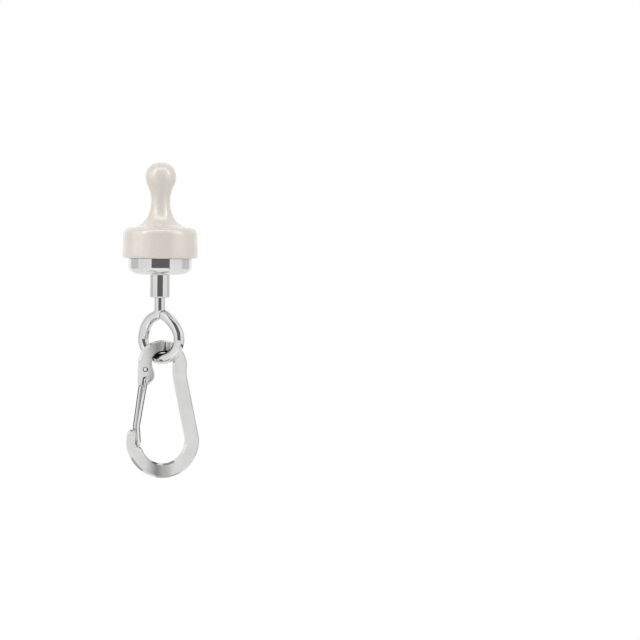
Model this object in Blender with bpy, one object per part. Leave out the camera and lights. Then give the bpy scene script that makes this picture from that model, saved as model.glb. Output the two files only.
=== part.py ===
"""Magnetic hook: a pawn knob magnet, a steel pot magnet, a screwed eye and a wire gate carabiner.

Metres, +Z up. The origin is the middle of the pot magnet's pulling face, on the hook's axis.
"""

import math

import bmesh
import bpy
from mathutils import Vector

# Clearances
SEAT_GAP = 0.0003
WIRE_GAP = 0.0002
CUT_OVERRUN = 0.0010
MERGE_DISTANCE = 0.000002

# Pot magnet: steel cup, magnet disc, spacer ring and threaded sleeve
POT_RADIUS = 0.0125
POT_HEIGHT = 0.0062
POT_WALL = 0.0016
POT_FLOOR = 0.0015
POT_ROUND_WIDTH = 0.0050
POT_ROUND_HEIGHT = 0.0032
POT_RIM_BEVEL = 0.0003
SPACER_WALL = 0.0009
MAGNET_BEVEL = 0.0003
SLEEVE_RADIUS = 0.0040
SLEEVE_LENGTH = 0.0087
SLEEVE_BEVEL = 0.0006
SPIGOT_RADIUS = 0.0032

# Knob: pawn shaped plastic shell with a magnet disc in its base
KNOB_HEIGHT = 0.0378
KNOB_BASE_RADIUS = 0.01488
KNOB_BASE_DRAFT = 0.00035
KNOB_BASE_HEIGHT = 0.0119
KNOB_FOOT_ROUND = 0.0010
KNOB_SHOULDER_ROUND = 0.0024
KNOB_SHOULDER_RISE = 0.0008
KNOB_FLARE_RADIUS = 0.0112
KNOB_NECK_RADIUS = 0.00375
KNOB_NECK_HEIGHT = 0.0226
KNOB_BALL_RADIUS = 0.0061
KNOB_BALL_FULLNESS = 2.25
KNOB_WALL = 0.0016
KNOB_MAGNET_DEPTH = 0.0060

# Eye: one wire with a straight shank, a side bend and a teardrop loop
WIRE_RADIUS = 0.0022
SHANK_ENGAGEMENT = 0.0070
SHANK_LENGTH = 0.0045
SHANK_BEVEL = 0.0004
BEND_RADIUS = 0.0028
BEND_ANGLE = math.radians(50)
LOOP_OFFSET = 0.00078
LOOP_HALF_WIDTH = 0.00872
LOOP_HALF_DROP = 0.00785
LOOP_RISE = 0.0098
LOOP_MIDDLE_DROP = 0.01615
LOOP_LEFT_SHARES = ((-0.552, 0.805), (-0.755, 0.625), (-0.905, 0.375))
LOOP_RIGHT_SHARES = ((0.955, 0.235), (0.775, 0.500), (0.520, 0.735), (0.275, 0.900), (0.110, 0.985))
EYE_TURN = math.radians(-32)

# Carabiner: flat plate frame with chamfered edges, drawn from the eye's lowest point
PLATE_THICKNESS = 0.0022
PLATE_CHAMFER = 0.00070
PLATE_TURN = math.radians(54)
PLATE_HANG = math.radians(0.5)
PLATE_FORWARD = 0.00059
CROWN_X = 0.00020
CROWN_Z = -0.0030
CROWN_RADIUS = 0.01035
CORNER_RADIUS = 0.00789
CORNER_ANGLE = math.radians(140)
WAIST_X = 0.01040
WAIST_Z = -0.0052
ARM_RUN_SHARE = 0.944
ARM_TOP_SHARE = 0.25
BOW_X = 0.0011
BOW_Z = -0.0324
BOW_HALF_WIDTH = 0.01504
BOW_DROP = 0.0147
BOW_SHOULDER = 0.0095
BOW_RIGHT_FULLNESS = 2.04
BOW_LEFT_FULLNESS = 1.92
ARM_WIDTH = 0.00596
BOW_FLOOR_WIDTH = 0.00575
ARCH_PEAK_X = 0.0012
ARCH_Z = -0.0020
ARCH_LEFT_WIDTH = 0.0053
ARCH_RIGHT_WIDTH = 0.00345
ARCH_HEIGHT = 0.00456
ARCH_LEFT_FULLNESS = 2.2
ARCH_RIGHT_FULLNESS = 2.9
ARM_BLEND_RADIUS = 0.018
NOSE_RISE = 0.0047
NOSE_INSET = 0.00054
NOSE_WIDTH = 0.00325
NOSE_LENGTH = 0.00695
NOSE_OUTER_ROUND = 0.0020
NOSE_INNER_ROUND = 0.0008
SEAT_ROUND = 0.0003
LUG_LEFT_X = -0.00962
LUG_RIGHT_X = -0.00290
LUG_BOTTOM_Z = -0.0108
LUG_CORNER_ROUND = 0.0009
LUG_BULGE_SHARES = ((0.885, 0.170), (1.0, 0.440), (0.955, 0.700), (0.780, 0.860), (0.585, 0.975))

# Gate: one bent wire, its upper foot in a round hole and its lower foot in a slot round that hole
GATE_WIRE_RADIUS = 0.00087
GATE_BEND_RADIUS = 0.0010
GATE_PIVOT_X = -0.00687
GATE_PIVOT_Z = -0.00416
GATE_FOOT_SPACING = 0.00386
GATE_KNEE_SET = 0.00061
GATE_KNEE_RISE = 0.00125
GATE_LEG_SPREAD = 0.00020
GATE_TIP_GAP = 0.00024
GATE_SEAT_GAP = 0.00030
GATE_POCKET_DEPTH = 0.0012
GATE_OPENING = math.radians(22)

# Mesh fineness
TURN_STEPS = 56
ARC_STEP = math.radians(9)
ROUND_STEP = math.radians(18)
WIRE_SIDES_HALF = 8
GATE_SIDES_HALF = 5
FLANK_STEPS = 4
LUG_STEPS = 3
MITRE_LIMIT_SHARE = 0.5
SMOOTH_ANGLE = math.radians(32)

# Places worked out from the sizes above
POT_BOTTOM = -POT_HEIGHT
SLEEVE_TOP = POT_BOTTOM - SEAT_GAP
SLEEVE_BOTTOM = SLEEVE_TOP - SLEEVE_LENGTH
CUP_INNER_RADIUS = POT_RADIUS - POT_WALL
CUP_FLOOR_TOP = POT_BOTTOM + POT_FLOOR
POT_MAGNET_RADIUS = CUP_INNER_RADIUS - SPACER_WALL - 2 * SEAT_GAP
POT_MAGNET_BOTTOM = CUP_FLOOR_TOP + SEAT_GAP
SLEEVE_BORE_RADIUS = WIRE_RADIUS + SEAT_GAP
LOOP_MIDDLE_Z = -LOOP_MIDDLE_DROP
LOOP_BOTTOM_Z = LOOP_MIDDLE_Z - LOOP_HALF_DROP
HOLLOW_HALF_WIDTH = BOW_HALF_WIDTH - ARM_WIDTH
HOLLOW_DROP = BOW_DROP - BOW_FLOOR_WIDTH
NOSE_TOP_Z = BOW_Z + NOSE_RISE
NOSE_OUTER_X = BOW_X - BOW_HALF_WIDTH + NOSE_INSET
NOSE_INNER_X = NOSE_OUTER_X + NOSE_WIDTH
SEAT_Z = NOSE_TOP_Z - NOSE_LENGTH
GATE_TIP_X = NOSE_INNER_X + GATE_WIRE_RADIUS + GATE_TIP_GAP
GATE_TIP_Z = SEAT_Z + GATE_WIRE_RADIUS + GATE_SEAT_GAP
GATE_KNEE_X = GATE_TIP_X - GATE_KNEE_SET
GATE_KNEE_Z = NOSE_TOP_Z + GATE_KNEE_RISE


def clear_scene():
    for item in list(bpy.data.objects):
        bpy.data.objects.remove(item, do_unlink=True)


def make_material(name, colour, metallic, roughness):
    material = bpy.data.materials.new(name)
    material.use_nodes = True
    shader = material.node_tree.nodes["Principled BSDF"]
    shader.inputs["Base Color"].default_value = (*colour, 1.0)
    shader.inputs["Metallic"].default_value = metallic
    shader.inputs["Roughness"].default_value = roughness
    material.diffuse_color = (*colour, 1.0)
    return material


def finish_object(name, mesh, material, parent=None, place=(0.0, 0.0, 0.0)):
    mesh.materials.append(material)
    mesh.shade_smooth()
    mesh.set_sharp_from_angle(angle=SMOOTH_ANGLE)
    item = bpy.data.objects.new(name, mesh)
    bpy.context.collection.objects.link(item)
    item.parent = parent
    item.location = place
    return item


def make_empty(name, place, turn=0.0, parent=None):
    empty = bpy.data.objects.new(name, None)
    bpy.context.collection.objects.link(empty)
    empty.parent = parent
    empty.location = place
    empty.rotation_euler = (0.0, 0.0, turn)
    return empty


def arc(centre, radius, start, end, height=None, fullness=2.0):
    """Points on a circle, or on a fuller oval with its own height, ends included."""
    height = radius if height is None else height
    count = max(2, math.ceil(abs(end - start) / ARC_STEP))
    power = 2.0 / fullness
    points = []
    for step in range(count + 1):
        angle = start + (end - start) * step / count
        across = math.copysign(abs(math.cos(angle)) ** power, math.cos(angle))
        up = math.copysign(abs(math.sin(angle)) ** power, math.sin(angle))
        points.append((centre[0] + radius * across, centre[1] + height * up))
    return points


def fillet(before, corner, after, radius):
    """Points of the round that replaces a corner between two straight runs."""
    middle = Vector(corner)
    inward = (Vector(before) - middle).normalized()
    outward = (Vector(after) - middle).normalized()
    half_angle = inward.angle(outward) / 2
    reach = radius / math.tan(half_angle)
    centre = middle + (inward + outward).normalized() * (radius / math.sin(half_angle))
    first = middle + inward * reach - centre
    last = middle + outward * reach - centre
    sweep = first.angle_signed(last)
    count = max(3, math.ceil(abs(sweep) / ROUND_STEP))
    start = math.atan2(first.y, first.x)
    points = []
    for step in range(count + 1):
        angle = start - sweep * step / count
        points.append((centre.x + radius * math.cos(angle), centre.y + radius * math.sin(angle)))
    return points


def smooth_through(points, steps):
    """Catmull-Rom curve through points of two or three coordinates."""
    knots = [Vector(point) for point in points]
    knots = [2 * knots[0] - knots[1]] + knots + [2 * knots[-1] - knots[-2]]
    curve = []
    for a, b, c, d in zip(knots, knots[1:], knots[2:], knots[3:]):
        for step in range(steps):
            t = step / steps
            curve.append(0.5 * (2 * b + (c - a) * t + (2 * a - 5 * b + 4 * c - d) * t ** 2
                                + (3 * b - a - 3 * c + d) * t ** 3))
    curve.append(knots[-2])
    return [tuple(point) for point in curve]


def turned_mesh(name, profile):
    """Closed solid of revolution about Z from a closed outline of radius and height."""
    shape = bmesh.new()
    rings = []
    for radius, height in profile:
        if radius == 0.0:
            rings.append([shape.verts.new((0.0, 0.0, height))])
            continue
        ring = []
        for step in range(TURN_STEPS):
            angle = math.tau * step / TURN_STEPS
            ring.append(shape.verts.new((radius * math.cos(angle), radius * math.sin(angle), height)))
        rings.append(ring)
    pairs = list(zip(rings, rings[1:]))
    if len(rings[0]) > 1:
        pairs.append((rings[-1], rings[0]))
    for lower, upper in pairs:
        for step in range(TURN_STEPS):
            following = (step + 1) % TURN_STEPS
            corners = [lower[step % len(lower)], lower[following % len(lower)],
                       upper[following % len(upper)], upper[step % len(upper)]]
            unique = list(dict.fromkeys(corners))
            if len(unique) > 2:
                shape.faces.new(unique)
    bmesh.ops.recalc_face_normals(shape, faces=shape.faces)
    mesh = bpy.data.meshes.new(name)
    shape.to_mesh(mesh)
    shape.free()
    return mesh


def wire_mesh(name, route, radius, sides_half, tip_bevel):
    """Round wire along a route, with a small bevel at both ends."""
    curve = bpy.data.curves.new(name, "CURVE")
    curve.dimensions = "3D"
    curve.bevel_depth = radius
    curve.bevel_resolution = sides_half - 2
    curve.use_fill_caps = True
    curve.twist_mode = "MINIMUM"
    spline = curve.splines.new("POLY")
    places = [Vector(point) for point in route]
    start = places[0] + (places[1] - places[0]).normalized() * tip_bevel
    end = places[-1] + (places[-2] - places[-1]).normalized() * tip_bevel
    tip_share = 1.0 - tip_bevel / radius
    rows = [(places[0], tip_share), (start, 1.0)]
    rows += [(place, 1.0) for place in places[1:-1]]
    rows += [(end, 1.0), (places[-1], tip_share)]
    spline.points.add(len(rows) - 1)
    for point, (place, share) in zip(spline.points, rows):
        point.co = (*place, 1.0)
        point.radius = share
    holder = bpy.data.objects.new(name + "_guide", curve)
    bpy.context.collection.objects.link(holder)
    mesh = bpy.data.meshes.new_from_object(holder.evaluated_get(bpy.context.evaluated_depsgraph_get()))
    bpy.data.objects.remove(holder, do_unlink=True)
    mesh.name = name
    shape = bmesh.new()
    shape.from_mesh(mesh)
    bmesh.ops.remove_doubles(shape, verts=shape.verts, dist=MERGE_DISTANCE)
    bmesh.ops.recalc_face_normals(shape, faces=shape.faces)
    shape.to_mesh(mesh)
    shape.free()
    mesh.materials.clear()
    return mesh


def inset_outline(outline, depth):
    """Outline moved into the material, which lies on the right of its direction."""
    moved = []
    for index, point in enumerate(outline):
        here = Vector(point)
        arriving = (here - Vector(outline[index - 1])).normalized()
        leaving = (Vector(outline[(index + 1) % len(outline)]) - here).normalized()
        along = (arriving + leaving).normalized()
        reach = depth / max(MITRE_LIMIT_SHARE, math.sqrt((1 + arriving.dot(leaving)) / 2))
        moved.append((here.x + along.y * reach, here.y - along.x * reach))
    return moved


def plate_mesh(name, outline, thickness, chamfer):
    """Flat plate in the XZ plane with a chamfer round both faces."""
    side = thickness / 2 - chamfer
    rows = [(-thickness / 2, chamfer), (-side, 0.0), (side, 0.0), (thickness / 2, chamfer)]
    shape = bmesh.new()
    rings = []
    for across, inset in rows:
        rings.append([shape.verts.new((x, across, z)) for x, z in inset_outline(outline, inset)])
    for lower, upper in zip(rings, rings[1:]):
        for index in range(len(outline)):
            after = (index + 1) % len(outline)
            shape.faces.new((lower[index], lower[after], upper[after], upper[index]))
    shape.faces.new(rings[0])
    shape.faces.new(list(reversed(rings[-1])))
    bmesh.ops.recalc_face_normals(shape, faces=shape.faces)
    mesh = bpy.data.meshes.new(name)
    shape.to_mesh(mesh)
    shape.free()
    return mesh


def build_pot(materials):
    cup_profile = [
        (SPIGOT_RADIUS + SEAT_GAP, POT_BOTTOM),
        *arc((POT_RADIUS - POT_ROUND_WIDTH, POT_BOTTOM + POT_ROUND_HEIGHT), POT_ROUND_WIDTH,
             math.radians(-90), 0.0, POT_ROUND_HEIGHT),
        (POT_RADIUS, -POT_RIM_BEVEL),
        (POT_RADIUS - POT_RIM_BEVEL, 0.0),
        (CUP_INNER_RADIUS, 0.0),
        (CUP_INNER_RADIUS, CUP_FLOOR_TOP),
        (SPIGOT_RADIUS + SEAT_GAP, CUP_FLOOR_TOP),
    ]
    finish_object("pot_cup", turned_mesh("pot_cup", cup_profile), materials["polished_steel"])

    magnet_profile = [
        (0.0, POT_MAGNET_BOTTOM),
        (POT_MAGNET_RADIUS - MAGNET_BEVEL, POT_MAGNET_BOTTOM),
        (POT_MAGNET_RADIUS, POT_MAGNET_BOTTOM + MAGNET_BEVEL),
        (POT_MAGNET_RADIUS, -MAGNET_BEVEL),
        (POT_MAGNET_RADIUS - MAGNET_BEVEL, 0.0),
        (0.0, 0.0),
    ]
    finish_object("pot_magnet", turned_mesh("pot_magnet", magnet_profile), materials["nickel"])

    spacer_inner = POT_MAGNET_RADIUS + SEAT_GAP
    spacer_outer = spacer_inner + SPACER_WALL
    spacer_profile = [
        (spacer_inner, POT_MAGNET_BOTTOM),
        (spacer_outer, POT_MAGNET_BOTTOM),
        (spacer_outer, -SEAT_GAP),
        (spacer_inner, -SEAT_GAP),
    ]
    finish_object("magnet_spacer", turned_mesh("magnet_spacer", spacer_profile), materials["spacer"])

    bore_top = SLEEVE_BOTTOM + SHANK_ENGAGEMENT + SEAT_GAP
    sleeve_profile = [
        (0.0, bore_top),
        (SLEEVE_BORE_RADIUS, bore_top),
        (SLEEVE_BORE_RADIUS, SLEEVE_BOTTOM + SLEEVE_BEVEL),
        (SLEEVE_BORE_RADIUS + SLEEVE_BEVEL, SLEEVE_BOTTOM),
        *fillet((0.0, SLEEVE_BOTTOM), (SLEEVE_RADIUS, SLEEVE_BOTTOM), (SLEEVE_RADIUS, SLEEVE_TOP),
                SLEEVE_BEVEL),
        (SLEEVE_RADIUS, SLEEVE_TOP),
        (SPIGOT_RADIUS, SLEEVE_TOP),
        (SPIGOT_RADIUS, CUP_FLOOR_TOP),
        (0.0, CUP_FLOOR_TOP),
    ]
    finish_object("threaded_sleeve", turned_mesh("threaded_sleeve", sleeve_profile),
                  materials["polished_steel"])


def knob_outline():
    """Outer side of the pawn, from the foot up to the crown."""
    ball_z = KNOB_HEIGHT - KNOB_BALL_RADIUS
    rise = ball_z - KNOB_NECK_HEIGHT
    neck_arc = ((KNOB_NECK_RADIUS ** 2 + rise ** 2 - KNOB_BALL_RADIUS ** 2)
                / (2 * (KNOB_BALL_RADIUS - KNOB_NECK_RADIUS)))
    meet = math.atan2(-rise, KNOB_NECK_RADIUS + neck_arc)
    shoulder_z = KNOB_BASE_HEIGHT + KNOB_SHOULDER_RISE
    foot = (KNOB_BASE_RADIUS, 0.0)
    edge = (KNOB_BASE_RADIUS - KNOB_BASE_DRAFT, KNOB_BASE_HEIGHT)
    return [
        *fillet((0.0, 0.0), foot, edge, KNOB_FOOT_ROUND),
        *fillet(foot, edge, (KNOB_FLARE_RADIUS, shoulder_z), KNOB_SHOULDER_ROUND),
        *arc((KNOB_FLARE_RADIUS, KNOB_NECK_HEIGHT), KNOB_FLARE_RADIUS - KNOB_NECK_RADIUS,
             math.radians(-90), math.radians(-180), KNOB_NECK_HEIGHT - shoulder_z),
        *arc((KNOB_NECK_RADIUS + neck_arc, KNOB_NECK_HEIGHT), neck_arc,
             math.radians(180), math.radians(180) + meet)[1:],
        *arc((0.0, ball_z), KNOB_BALL_RADIUS, meet, 0.0)[1:],
        *arc((0.0, ball_z), KNOB_BALL_RADIUS, 0.0, math.radians(90), KNOB_BALL_RADIUS,
             KNOB_BALL_FULLNESS)[1:-1],
        (0.0, KNOB_HEIGHT),
    ]


def build_knob(materials):
    pocket_radius = KNOB_BASE_RADIUS - KNOB_WALL
    pocket_top = KNOB_MAGNET_DEPTH + SEAT_GAP
    shell_profile = [
        (0.0, pocket_top),
        (pocket_radius, pocket_top),
        (pocket_radius, 0.0),
        *knob_outline(),
    ]
    knob = finish_object("knob_shell", turned_mesh("knob_shell", shell_profile), materials["knob"],
                         place=(0.0, 0.0, SEAT_GAP))
    magnet_radius = pocket_radius - SEAT_GAP
    magnet_profile = [
        (0.0, 0.0),
        (magnet_radius - MAGNET_BEVEL, 0.0),
        (magnet_radius, MAGNET_BEVEL),
        (magnet_radius, KNOB_MAGNET_DEPTH - MAGNET_BEVEL),
        (magnet_radius - MAGNET_BEVEL, KNOB_MAGNET_DEPTH),
        (0.0, KNOB_MAGNET_DEPTH),
    ]
    finish_object("knob_magnet", turned_mesh("knob_magnet", magnet_profile), materials["nickel"], knob)


def eye_route():
    """Centre line of the eye's wire in its own plane, from inside the sleeve to the cut end."""
    shank = [(0.0, SHANK_ENGAGEMENT), (0.0, SHANK_ENGAGEMENT / 2), (0.0, 0.0), (0.0, -SHANK_LENGTH)]
    bend = arc((-BEND_RADIUS, -SHANK_LENGTH), BEND_RADIUS, 0.0, -BEND_ANGLE)
    left = [(LOOP_OFFSET + LOOP_HALF_WIDTH * across, LOOP_MIDDLE_Z + LOOP_RISE * up)
            for across, up in LOOP_LEFT_SHARES]
    low = arc((LOOP_OFFSET, LOOP_MIDDLE_Z), LOOP_HALF_WIDTH, math.radians(180), math.radians(360),
              LOOP_HALF_DROP)
    right = [(LOOP_OFFSET + LOOP_HALF_WIDTH * across, LOOP_MIDDLE_Z + LOOP_RISE * up)
             for across, up in LOOP_RIGHT_SHARES]
    flank_in = smooth_through([bend[-1], *left, low[0]], FLANK_STEPS)
    flank_out = smooth_through([low[-1], *right], FLANK_STEPS)
    route = shank + bend[1:] + flank_in[1:-1] + low + flank_out[1:]
    return [(x, 0.0, z) for x, z in route]


def build_eye(materials):
    turn = make_empty("eye_turn_axis", (0.0, 0.0, SLEEVE_BOTTOM), EYE_TURN)
    mesh = wire_mesh("eye_bolt", eye_route(), WIRE_RADIUS, WIRE_SIDES_HALF, SHANK_BEVEL)
    finish_object("eye_bolt", mesh, materials["wire"], turn)
    return turn


def oval_angle(half_width, height, lean):
    """Angle at which an oval's side leans by the given angle from upright."""
    return math.atan(math.tan(lean) * height / half_width)


def plate_outline():
    """Carabiner frame in its own plane, clockwise from the foot of the lug's left side."""
    corner_x = CROWN_X + (CROWN_RADIUS - CORNER_RADIUS) * math.cos(CORNER_ANGLE)
    corner_z = CROWN_Z + (CROWN_RADIUS - CORNER_RADIUS) * math.sin(CORNER_ANGLE)
    crown = (arc((corner_x, corner_z), CORNER_RADIUS, math.radians(180), CORNER_ANGLE)
             + arc((CROWN_X, CROWN_Z), CROWN_RADIUS, CORNER_ANGLE, 0.0)[1:])

    arm_lean = math.atan2(BOW_X + BOW_HALF_WIDTH - WAIST_X, (WAIST_Z - BOW_Z) * ARM_RUN_SHARE)
    arm_angle = oval_angle(BOW_HALF_WIDTH, BOW_SHOULDER, arm_lean)
    bow_side = arc((BOW_X, BOW_Z), BOW_HALF_WIDTH, arm_angle, 0.0, BOW_SHOULDER)
    bow = (arc((BOW_X, BOW_Z), BOW_HALF_WIDTH, 0.0, math.radians(-90), BOW_DROP, BOW_RIGHT_FULLNESS)
           + arc((BOW_X, BOW_Z), BOW_HALF_WIDTH, math.radians(-90), math.radians(-180), BOW_DROP,
                 BOW_LEFT_FULLNESS)[1:])
    arm_top_z = WAIST_Z - CROWN_RADIUS * ARM_TOP_SHARE
    arm_top = (bow_side[0][0] - (arm_top_z - bow_side[0][1]) * math.tan(arm_lean), arm_top_z)
    waist = smooth_through([crown[-1], (WAIST_X, WAIST_Z), arm_top], FLANK_STEPS)

    nose_corner = (NOSE_OUTER_X, NOSE_TOP_Z)
    nose_inner = (NOSE_INNER_X, NOSE_TOP_Z)
    seat_corner = (NOSE_INNER_X, SEAT_Z)
    nose = (fillet(bow[-1], nose_corner, nose_inner, NOSE_OUTER_ROUND)
            + fillet(nose_corner, nose_inner, seat_corner, NOSE_INNER_ROUND))

    lip_angle = -math.pi + math.asin((BOW_Z - SEAT_Z) / HOLLOW_DROP)
    seat_lip = (BOW_X + HOLLOW_HALF_WIDTH * math.cos(lip_angle), SEAT_Z)
    lip_end = lip_angle + 2 * NOSE_INNER_ROUND / HOLLOW_HALF_WIDTH
    hollow_angle = oval_angle(HOLLOW_HALF_WIDTH, HOLLOW_DROP, arm_lean)
    hollow = arc((BOW_X, BOW_Z), HOLLOW_HALF_WIDTH, lip_end, hollow_angle, HOLLOW_DROP)
    seat = (fillet(nose_inner, seat_corner, seat_lip, SEAT_ROUND)
            + fillet(seat_corner, seat_lip, hollow[0], NOSE_INNER_ROUND))

    arch_foot = (ARCH_PEAK_X, ARCH_Z)
    arch = (arc(arch_foot, ARCH_RIGHT_WIDTH, 0.0, math.radians(90), ARCH_HEIGHT, ARCH_RIGHT_FULLNESS)
            + arc(arch_foot, ARCH_LEFT_WIDTH, math.radians(90), math.radians(180), ARCH_HEIGHT,
                  ARCH_LEFT_FULLNESS)[1:])
    climb = (hollow[-1][0] - arch[0][0]) / math.tan(arm_lean)
    arm_corner = (arch[0][0], hollow[-1][1] + climb)
    arm_blend = fillet(hollow[-1], arm_corner, arch[0], ARM_BLEND_RADIUS)

    lug_width = LUG_RIGHT_X - LUG_LEFT_X
    lug_height = ARCH_Z - LUG_BOTTOM_Z
    bulge = [(LUG_LEFT_X + lug_width * across, ARCH_Z - lug_height * down)
             for across, down in LUG_BULGE_SHARES]
    lug_side = smooth_through([arch[-1], *bulge], LUG_STEPS)
    lug_floor = (bulge[-1][0] - LUG_CORNER_ROUND, LUG_BOTTOM_Z)
    lug_corner = (LUG_LEFT_X, LUG_BOTTOM_Z)
    lug_foot = (fillet(bulge[-1], lug_floor, lug_corner, LUG_CORNER_ROUND)
                + fillet(lug_floor, lug_corner, crown[0], LUG_CORNER_ROUND))

    return (crown + waist[1:] + bow_side + bow[1:] + nose + seat + hollow[1:]
            + arm_blend + arch + lug_side[1:] + lug_foot)


def slot_outline():
    """Curved slot round the gate's pivot, for the lower foot of the gate's wire."""
    half = GATE_WIRE_RADIUS + WIRE_GAP
    start = math.radians(-90)
    end = start + GATE_OPENING
    inner = arc((0.0, 0.0), GATE_FOOT_SPACING - half, end, start)
    first_tip = (GATE_FOOT_SPACING * math.cos(start), GATE_FOOT_SPACING * math.sin(start))
    last_tip = (GATE_FOOT_SPACING * math.cos(end), GATE_FOOT_SPACING * math.sin(end))
    outer = arc((0.0, 0.0), GATE_FOOT_SPACING + half, start, end)
    return (outer[1:-1] + arc(last_tip, half, end, end + math.pi) + inner[1:-1]
            + arc(first_tip, half, start + math.pi, start + math.tau))


def foot_cutter(name, outline, depth, parent):
    """Cutter from the plate's front, placed at the gate's pivot."""
    shape = bmesh.new()
    face = -PLATE_THICKNESS / 2
    front = [shape.verts.new((x, face - CUT_OVERRUN, z)) for x, z in outline]
    back = [shape.verts.new((x, face + depth, z)) for x, z in outline]
    for index in range(len(outline)):
        after = (index + 1) % len(outline)
        shape.faces.new((front[index], front[after], back[after], back[index]))
    shape.faces.new(front)
    shape.faces.new(list(reversed(back)))
    bmesh.ops.recalc_face_normals(shape, faces=shape.faces)
    mesh = bpy.data.meshes.new(name)
    shape.to_mesh(mesh)
    shape.free()
    cutter = bpy.data.objects.new(name, mesh)
    bpy.context.collection.objects.link(cutter)
    cutter.parent = parent
    cutter.location = (GATE_PIVOT_X, 0.0, GATE_PIVOT_Z)
    cutter.hide_render = True
    cutter.display_type = "WIRE"
    return cutter


def build_carabiner(materials, eye):
    swing = make_empty("carabiner_swing_axis", (LOOP_OFFSET, 0.0, LOOP_BOTTOM_Z), PLATE_TURN, eye)
    mesh = plate_mesh("carabiner_frame", plate_outline(), PLATE_THICKNESS, PLATE_CHAMFER)
    frame = finish_object("carabiner_frame", mesh, materials["plate"], swing, (0.0, -PLATE_FORWARD, 0.0))
    frame.rotation_euler = (0.0, PLATE_HANG, 0.0)
    hole = arc((0.0, 0.0), GATE_WIRE_RADIUS + WIRE_GAP, 0.0, math.tau)[:-1]
    cutters = (
        foot_cutter("upper_hole", hole, PLATE_THICKNESS + CUT_OVERRUN, frame),
        foot_cutter("lower_slot", slot_outline(), GATE_POCKET_DEPTH, frame),
    )
    for cutter in cutters:
        cut = frame.modifiers.new(cutter.name, "BOOLEAN")
        cut.operation = "DIFFERENCE"
        cut.solver = "EXACT"
        cut.object = cutter
    return frame


def rounded_route(corners, radius):
    """Straight runs between corners of a three dimensional route, joined by arcs."""
    route = [Vector(corners[0])]
    for before, corner, after in zip(corners, corners[1:], corners[2:]):
        middle = Vector(corner)
        inward = (Vector(before) - middle).normalized()
        outward = (Vector(after) - middle).normalized()
        half_angle = inward.angle(outward) / 2
        sweep = math.pi - 2 * half_angle
        centre = middle + (inward + outward).normalized() * (radius / math.sin(half_angle))
        first = middle + inward * (radius / math.tan(half_angle)) - centre
        count = max(2, math.ceil(sweep / ROUND_STEP))
        for step in range(count + 1):
            angle = sweep * step / count
            route.append(centre + first * math.cos(angle) - inward * radius * math.sin(angle))
    route.append(Vector(corners[-1]))
    return route


def build_gate(materials, frame):
    pivot = make_empty("gate_axis", (GATE_PIVOT_X, 0.0, GATE_PIVOT_Z), 0.0, frame)
    stand_off = PLATE_THICKNESS / 2 + WIRE_GAP + GATE_WIRE_RADIUS
    upper_tip = -PLATE_THICKNESS / 2 + WIRE_GAP
    lower_tip = -PLATE_THICKNESS / 2 + GATE_POCKET_DEPTH - WIRE_GAP
    knee = (GATE_KNEE_X - GATE_PIVOT_X, GATE_KNEE_Z - GATE_PIVOT_Z)
    tip = (GATE_TIP_X - GATE_PIVOT_X, GATE_TIP_Z - GATE_PIVOT_Z)
    corners = [
        (0.0, lower_tip, -GATE_FOOT_SPACING),
        (0.0, -stand_off, -GATE_FOOT_SPACING),
        (knee[0], -stand_off, knee[1]),
        (tip[0], -stand_off, tip[1]),
        (tip[0], stand_off, tip[1]),
        (knee[0] - GATE_LEG_SPREAD, stand_off, knee[1]),
        (0.0, stand_off, 0.0),
        (0.0, upper_tip, 0.0),
    ]
    mesh = wire_mesh("gate_wire", rounded_route(corners, GATE_BEND_RADIUS), GATE_WIRE_RADIUS,
                     GATE_SIDES_HALF, WIRE_GAP)
    finish_object("gate_wire", mesh, materials["gate"], pivot)


def main():
    clear_scene()
    materials = {
        "knob": make_material("knob", (0.76, 0.70, 0.62), 0.0, 0.32),
        "nickel": make_material("nickel", (0.62, 0.61, 0.58), 1.0, 0.25),
        "polished_steel": make_material("polished_steel", (0.72, 0.72, 0.71), 1.0, 0.12),
        "spacer": make_material("spacer", (0.05, 0.05, 0.055), 0.0, 0.6),
        "wire": make_material("wire", (0.70, 0.70, 0.69), 1.0, 0.15),
        "plate": make_material("plate", (0.68, 0.68, 0.67), 1.0, 0.28),
        "gate": make_material("gate", (0.66, 0.66, 0.65), 1.0, 0.18),
    }
    build_pot(materials)
    build_knob(materials)
    eye = build_eye(materials)
    frame = build_carabiner(materials, eye)
    build_gate(materials, frame)


main()
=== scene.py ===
"""Dressing of the magnetic hook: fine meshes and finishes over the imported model, and its studio."""

import math

import bmesh
import bpy
from mathutils import Matrix, Vector


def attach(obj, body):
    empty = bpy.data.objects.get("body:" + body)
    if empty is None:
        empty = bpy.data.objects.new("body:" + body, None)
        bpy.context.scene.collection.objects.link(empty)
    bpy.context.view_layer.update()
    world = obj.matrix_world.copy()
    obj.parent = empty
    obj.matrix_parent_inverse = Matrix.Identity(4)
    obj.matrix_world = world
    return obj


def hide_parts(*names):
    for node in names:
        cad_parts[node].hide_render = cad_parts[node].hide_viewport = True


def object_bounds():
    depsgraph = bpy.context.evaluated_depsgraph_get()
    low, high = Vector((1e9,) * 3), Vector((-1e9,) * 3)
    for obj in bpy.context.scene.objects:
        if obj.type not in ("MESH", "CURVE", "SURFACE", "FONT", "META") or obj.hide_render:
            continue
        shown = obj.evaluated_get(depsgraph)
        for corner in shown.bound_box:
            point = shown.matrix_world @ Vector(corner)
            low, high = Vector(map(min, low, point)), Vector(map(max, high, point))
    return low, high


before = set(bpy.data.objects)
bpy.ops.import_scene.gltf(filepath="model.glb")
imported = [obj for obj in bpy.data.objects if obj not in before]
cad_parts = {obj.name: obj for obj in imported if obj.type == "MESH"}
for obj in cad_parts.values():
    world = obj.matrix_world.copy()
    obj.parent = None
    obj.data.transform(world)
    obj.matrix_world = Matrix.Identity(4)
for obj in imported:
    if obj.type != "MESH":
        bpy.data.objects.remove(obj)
cad_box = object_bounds()

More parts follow.
